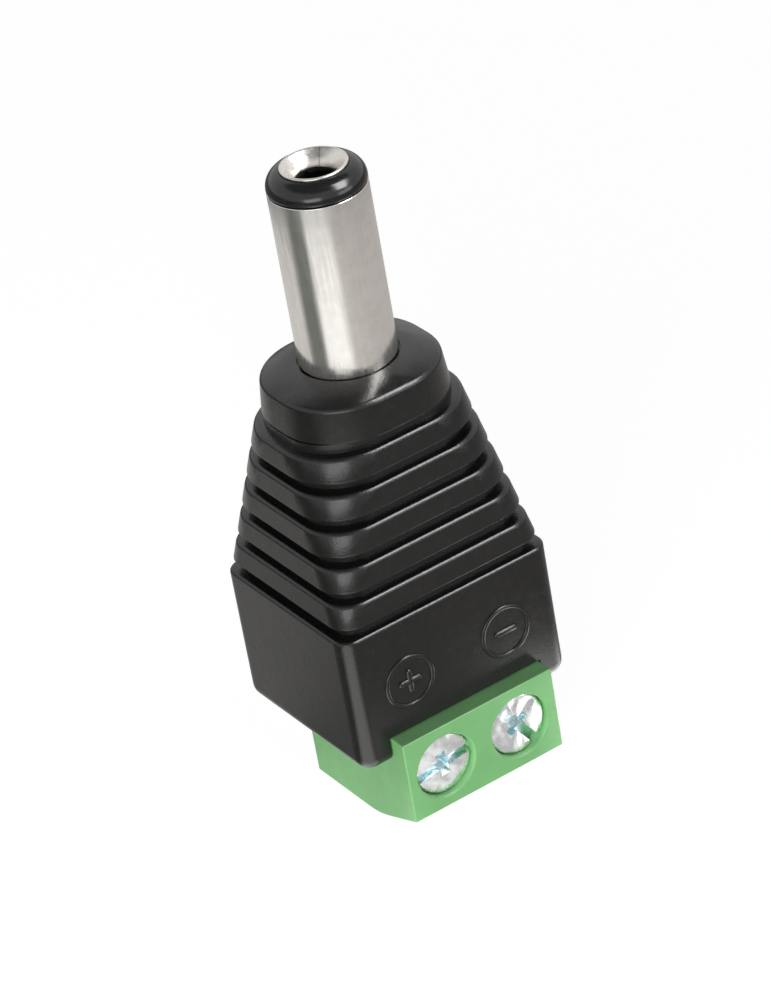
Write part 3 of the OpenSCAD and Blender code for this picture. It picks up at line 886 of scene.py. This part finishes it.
class PLUG_OT_block(bpy.types.Operator):
    """Build the green terminal block with its screw holes, wire entries and bays"""

    bl_idname = "plug.block"
    bl_label = "Terminal block"

    def execute(self, context):
        h, t = sizes("plug_housing"), sizes("plug_terminal")
        front = -(h.depth / 2 + t.proud)
        back = front + t.depth
        step = -h.depth / 2 + h.wall + BLOCK_GAP
        base_front = back - t.base
        slope = math.atan2(t.chin, base_front - front)
        bend = base_front + t.chin_round * math.tan(slope / 2)
        seat = front + t.recess + t.head + t.run_gap
        bay = seat + t.seat
        shank_r = t.thread + t.run_gap
        # Where a cut starts and ends inside the room that it opens into
        into = 0.5

        def body(bm):
            outline = [
                (front, t.chin), (front, t.shoulder_z), (step, t.shoulder_z), (step, t.height),
                (back, t.height), (back, 0),
            ]
            for c, s in arc(8, math.degrees(slope)):
                outline.append((bend - t.chin_round * (1 - s), t.chin_round * c))
            face = bm.faces.new([bm.verts.new((-t.pitch, y, z)) for y, z in outline])
            grown = bmesh.ops.extrude_face_region(bm, geom=[face])["geom"]
            far = [v for v in grown if isinstance(v, bmesh.types.BMVert)]
            move(bm, far, (2 * t.pitch, 0, 0))
            bmesh.ops.recalc_face_normals(bm, faces=bm.faces)
            least_turn = math.radians(12)
            bevel(bm, [e for e in bm.edges if e.calc_face_angle(0) > least_turn], t.edge, 3)

        def hole(bm, x):
            mouth = [(t.hole_radius + t.hole_edge * s, t.hole_edge * c) for c, s in arc(6)]
            lathe(bm, [
                (0, -PAST), (t.hole_radius + t.hole_edge, -PAST), *mouth,
                (t.hole_radius, seat - front), (0, seat - front),
            ], 96, (x, front, t.screw_z), "Y", closed=False)

        def bay_room(bm, x):
            half = t.bay_width / 2
            box(bm, (x - half, bay, t.floor), (x + half, back + PAST, t.bay_top))

        def shank(bm, x):
            lathe(bm, [
                (0, seat - into), (shank_r, seat - into), (shank_r, bay + into), (0, bay + into),
            ], 64, (x, 0, t.screw_z), "Y", closed=False)

        def entry(bm, x):
            r, flare = t.entry_radius, t.entry_flare
            lathe(bm, [
                (0, -PAST), (r + flare, -PAST), (r + flare, 0), (r + flare * 0.4, flare * 0.45),
                (r, flare), (r, t.floor + into), (0, t.floor + into),
            ], 96, (x, t.entry_y, 0), closed=False)

        obj = shape("terminal_body", body)
        for side in POLES.values():
            for cut in (hole, bay_room, shank, entry):
                combine(obj, [lambda bm: cut(bm, side * t.pitch / 2)])
        finish(obj, "green_plastic", BODY, ["terminal_block"])
        return {"FINISHED"}


class PLUG_OT_screws(bpy.types.Operator):
    """Build the two clamp screws, each with a slot across a cross recess"""

    bl_idname = "plug.screws"
    bl_label = "Clamp screws"

    def execute(self, context):
        h, t = sizes("plug_housing"), sizes("plug_terminal")
        turns = {"positive": t.turn_positive, "negative": t.turn_negative}
        head_y = -(h.depth / 2 + t.proud) + t.recess
        head_r = t.hole_radius - t.run_gap
        end = t.screw_end - head_y
        # How much narrower the cross recess is at its floor, along and across each arm
        cross_taper = (0.5, 1, 0.7)
        for pole, side in POLES.items():
            centre = (side * t.pitch / 2, head_y, t.screw_z)

            def body(bm):
                lathe(bm, [
                    (0, 0), (head_r, 0), (head_r, t.head), (t.thread, t.head),
                    (t.thread, end - t.screw_point), (t.thread - t.screw_point, end), (0, end),
                ], 96, centre, "Y", closed=False)
                rounds = {(head_r, 0): t.head_edge, (head_r, t.head): 0.05}
                soften(bm, rounds, centre=centre, axis="Y")

            def on_head(bm, verts):
                rotate(bm, verts, -turns[pole])
                move(bm, verts, centre)

            def slot(bm):
                half = t.slot_width / 2
                on_head(bm, box(bm, (-ACROSS, -PAST, -half), (ACROSS, t.slot_depth, half)))

            def cross(bm, turn):
                span, half = t.cross_span / 2, t.cross_width / 2
                verts = box(bm, (-span, -PAST, -half), (span, t.cross_depth, half))
                floor = [v for v in verts if v.co.y > 0]
                stretch(bm, floor, cross_taper)
                rotate(bm, verts, turn)
                on_head(bm, verts)

            obj = shape(f"screw_{pole}_zinc", body)
            combine(obj, [slot, lambda bm: cross(bm, 0), lambda bm: cross(bm, math.pi / 2)])
            ease(obj, width=0.035, degrees=40, segments=2)
            finish(obj, "zinc_steel", f"screw_{pole}", [f"clamp_screw_{pole}"])
        return {"FINISHED"}


class PLUG_OT_inner(bpy.types.Operator):
    """Dress the cages, contact strips, tabs and rear insulator, whose CAD shapes stay"""

    bl_idname = "plug.inner"
    bl_label = "Inner parts"

    def execute(self, context):
        looks = finish_set()
        kept = [f"{kind}_{pole}" for kind in ("contact", "clamp_cage") for pole in POLES]
        kept += ["rear_insulator", "centre_tab", "sleeve_tab"]
        wanted = {part["node"]: part["material_slot"] for part in frame["record"]["subparts"]}
        for node in kept:
            slots = frame["nodes"][node].material_slots
            if not slots:
                raise RuntimeError(f"{node} has no material slot")
            for slot in slots:
                slot.link = "OBJECT"
                slot.material = looks[wanted[node]]
        return {"FINISHED"}


def add_camera(scene, lens):
    data = bpy.data.cameras.new("camera")
    data.lens = lens
    data.shift_x = 0.00178
    data.shift_y = 0.00356
    data.clip_start = 0.01
    data.clip_end = 10
    place = Vector((-0.10483, -0.188624, 0.14933))
    right = Vector((0.81289812, -0.56181195, -0.15350563))
    up = Vector((0.40820949, 0.36162069, 0.83820969))
    turn = Matrix((right, up, right.cross(up))).transposed()
    scene.camera = in_scene("camera", data)
    scene.camera.matrix_world = Matrix.Translation(place) @ turn.to_4x4()


def add_lamp(name, place, power, tint):
    """A softbox that faces the plug."""
    direction, away, (width, height) = place
    data = bpy.data.lights.new(name, "AREA")
    data.shape = "RECTANGLE"
    data.size, data.size_y = width, height
    data.energy = power
    data.color = tint
    lamp = in_scene(name, data)
    towards = Vector(direction).normalized()
    lamp.location = MIDDLE + towards * away
    lamp.rotation_mode = "QUATERNION"
    lamp.rotation_quaternion = towards.to_track_quat("Z", "Y")
    return lamp


def light_world(scene, ambient):
    """White where it is seen, and soft light on the plug."""
    scene.world = bpy.data.worlds.new("studio")
    g = Nodes(scene.world)
    g.tree.nodes.clear()
    soft = g.white("ShaderNodeBackground", ambient)
    white = g.white("ShaderNodeBackground", 1.0)
    out = g.add("ShaderNodeOutputWorld")
    g.link(g.mix(g.seen(), soft, white).outputs[0], out.inputs["Surface"])


def staged(name, bm, surface, finish_name=None):
    """A stage piece with the surface that surface(nodes) makes."""
    mesh = mesh_from(bm, name)
    material = bpy.data.materials.new(finish_name or name)
    g = Nodes(material)
    g.tree.nodes.clear()
    out = g.add("ShaderNodeOutputMaterial")
    g.link(surface(g).outputs[0], out.inputs["Surface"])
    mesh.materials.append(material)
    obj = in_scene(name, mesh)
    return obj


def lay_floor(s):
    """A pale floor that keeps the plug's shadow and is clear from below."""
    bm = bmesh.new()
    bmesh.ops.create_grid(bm, x_segments=1, y_segments=1, size=1.5)

    def pale(g):
        matt = g.add("ShaderNodeBsdfDiffuse")
        matt.inputs["Color"].default_value = (0.92, 0.92, 0.92, 1)
        share = g.math("MULTIPLY", g.seen(), s.floor_white)
        top = g.mix(share, matt, g.white("ShaderNodeEmission", s.floor_glow))
        below = g.add("ShaderNodeNewGeometry").outputs["Backfacing"]
        return g.mix(below, top, g.add("ShaderNodeBsdfTransparent"))

    staged("floor", bm, pale, "pale_floor")


def add_cards(glint):
    """Cards that only reflections show. Rings on the floor give the metal its soft bands.

    A ring's stops are (angle, tint, strength), in degrees to the right of the camera's side.
    """
    pale, dark = (1.0, 0.985, 0.95), (0.86, 0.9, 0.84)
    bright, warm = (1.0, 1.0, 0.975), (1.0, 0.955, 0.93)
    ring_card("card_close", 8, 18, (
        (-180, pale, 0.6), (-110, pale, 0.6), (-90, pale, 0.32), (-44, dark, 0.25),
        (-34, bright, 2.6), (0, bright, 2.6), (8, bright, 0.5), (20, bright, 1.0),
        (29, bright, 0.85), (37, bright, 0.5), (48, bright, 0.5), (56, bright, 0.8),
        (64, bright, 4.0), (94, bright, 4.0), (106, warm, 0.5), (179, warm, 0.5),
    ))
    ring_card("card_near", 18, 40, (
        (-180, pale, 0.62), (-110, pale, 0.58), (-92, pale, 0.3), (-44, dark, 0.2),
        (-34, bright, 2.6), (0, bright, 2.6), (8, warm, 0.42), (179, warm, 0.42),
    ))
    ring_card("card_middle", 40, 70, (
        (-180, pale, 0.62), (-96, pale, 0.72), (-82, dark, 0.22), (-52, dark, 0.2),
        (-43, bright, 1.2), (2, bright, 1.2), (16, warm, 0.66), (70, warm, 0.56),
        (179, warm, 0.5),
    ))
    ring_card("card_far", 70, 150, (
        (-180, pale, 0.22), (-70, dark, 0.2), (-43, bright, 0.4), (2, bright, 0.4),
        (20, warm, 0.38), (179, warm, 0.4),
    ))
    ring_card("card_edge", 150, 1300, (
        (-180, pale, 0.2), (-43, dark, 0.15), (2, dark, 0.2), (20, warm, 0.3),
        (179, warm, 0.25),
    ))
    wall_card("card_horizon", radius=150, height=42, degrees=110, strength=0.22)
    ceiling_card("card_ceiling", height=0.42, radius=0.34, strength=0.28)
    hung_card("card_key", KEY_PLACE, strength=5.0)
    overhead_place = ((0.415, -0.523, 0.744), 0.25, (0.1, 0.17))
    hung_card("card_overhead", overhead_place, glint)


def card(name, bm, surface):
    """Makes a stage card that shows in reflections and nowhere else."""
    card = staged(name, bm, surface)
    for ray in ("camera", "diffuse", "transmission", "shadow"):
        setattr(card, f"visible_{ray}", False)


def plain_card(name, bm, strength):
    card(name, bm, lambda g: g.white("ShaderNodeEmission", strength))


def ring_card(name, inner, outer, stops):
    """A flat ring on the floor whose brightness changes with the direction."""
    bm = bmesh.new()
    lift = 0.0001
    edge = [bm.verts.new((r / MM, 0, lift)) for r in (inner, outer)]
    spin(bm, edge + [bm.edges.new(edge)], steps=96)

    def banded(g):
        mapping = g.add("ShaderNodeMapping")
        mapping.inputs["Rotation"].default_value = (0, 0, -CAMERA_SIDE)
        sweep = g.add("ShaderNodeTexGradient", gradient_type="RADIAL")
        g.link(g.add("ShaderNodeTexCoord").outputs["Object"], mapping.inputs["Vector"])
        g.link(mapping.outputs["Vector"], sweep.inputs["Vector"])
        ramp = g.add("ShaderNodeValToRGB")
        elements = ramp.color_ramp.elements
        brightest = max(strength for _, _, strength in stops)
        while len(elements) < len(stops):
            elements.new(1.0)
        for element, (degrees, tint, strength) in zip(elements, stops):
            element.position = degrees / 360 + 0.5
            element.color = (*[c * strength / brightest for c in tint], 1)
        g.link(sweep.outputs["Fac"], ramp.inputs["Fac"])
        glow = g.white("ShaderNodeEmission", brightest)
        g.link(ramp.outputs["Color"], glow.inputs["Color"])
        return glow

    card(name, bm, banded)


def wall_card(name, radius, height, degrees, strength):
    """A low wall behind and to the left, which darkens the horizon in the side faces."""
    bm = bmesh.new()
    first = CAMERA_SIDE - math.pi
    x, y = math.cos(first) * radius / MM, math.sin(first) * radius / MM
    edge = [bm.verts.new((x, y, z / MM)) for z in (0, height)]
    spin(bm, edge + [bm.edges.new(edge)], steps=40, turn=math.radians(degrees))
    plain_card(name, bm, strength)


def ceiling_card(name, height, radius, strength):
    """A dim disc overhead, which keeps the upper surfaces dark."""
    bm = bmesh.new()
    disc = bmesh.ops.create_circle(bm, cap_ends=True, segments=48, radius=radius)["verts"]
    move(bm, disc, (0, 0, height))
    plain_card(name, bm, strength)


def hung_card(name, place, strength):
    """A card that faces the plug. The overhead one draws the thin lights on upper edges."""
    direction, away, (width, height) = place
    bm = bmesh.new()
    verts = bmesh.ops.create_grid(bm, x_segments=1, y_segments=1, size=0.5)["verts"]
    stretch(bm, verts, (width, height, 1))
    towards = Vector(direction).normalized()
    across = Vector((1, 0, 0)) - towards * towards.x
    across.normalize()
    turn = Matrix((across, towards.cross(across), towards)).transposed()
    bmesh.ops.rotate(bm, cent=ORIGIN, matrix=turn, verts=verts)
    move(bm, verts, towards * away + MIDDLE)
    plain_card(name, bm, strength)


class PLUG_OT_stage(bpy.types.Operator):
    """Build the camera, the floor, the world and the studio light"""

    bl_idname = "plug.stage"
    bl_label = "Stage"

    def execute(self, context):
        s = sizes("plug_stage")
        scene = context.scene
        scene.view_settings.view_transform = "Standard"
        add_camera(scene, s.lens)
        light_world(scene, s.ambient)
        lay_floor(s)
        add_cards(s.glint)
        add_lamp("key", KEY_PLACE, s.key, (1.0, 0.99, 0.97)).visible_glossy = False
        fill_place = ((0.55, -0.95, 0.17), 0.36, (0.22, 0.12))
        add_lamp("fill", fill_place, s.fill, (0.97, 0.985, 1.0))
        return {"FINISHED"}


class PLUG_PT_panel(bpy.types.Panel):
    """Lists the pieces and their sizes"""

    bl_idname = "PLUG_PT_panel"
    bl_label = "DC barrel plug"
    bl_space_type = "VIEW_3D"
    bl_region_type = "UI"
    bl_category = "Plug"

    def draw(self, context):
        for operator in OPERATORS:
            self.layout.operator(operator.bl_idname)
        for name, group in GROUPS.items():
            column = self.layout.box()
            column.label(text=group.__doc__)
            settings = getattr(context.scene, name)
            for prop in group.__annotations__:
                column.prop(settings, prop)


OPERATORS = (
    PLUG_OT_housing, PLUG_OT_marks, PLUG_OT_plug, PLUG_OT_block, PLUG_OT_screws, PLUG_OT_inner,
    PLUG_OT_stage,
)
CLASSES = (*GROUPS.values(), *OPERATORS, PLUG_PT_panel)


def register():
    for cls in CLASSES:
        bpy.utils.register_class(cls)
    for name, group in GROUPS.items():
        setattr(bpy.types.Scene, name, bpy.props.PointerProperty(type=group))


def unregister():
    for name in GROUPS:
        delattr(bpy.types.Scene, name)
    for cls in reversed(CLASSES):
        bpy.utils.unregister_class(cls)


def main():
    register()
    bpy.ops.plug.housing()
    bpy.ops.plug.marks()
    bpy.ops.plug.plug()
    bpy.ops.plug.block()
    bpy.ops.plug.screws()
    bpy.ops.plug.inner()
    bpy.ops.plug.stage()


if __name__ == "__main__":
    main()
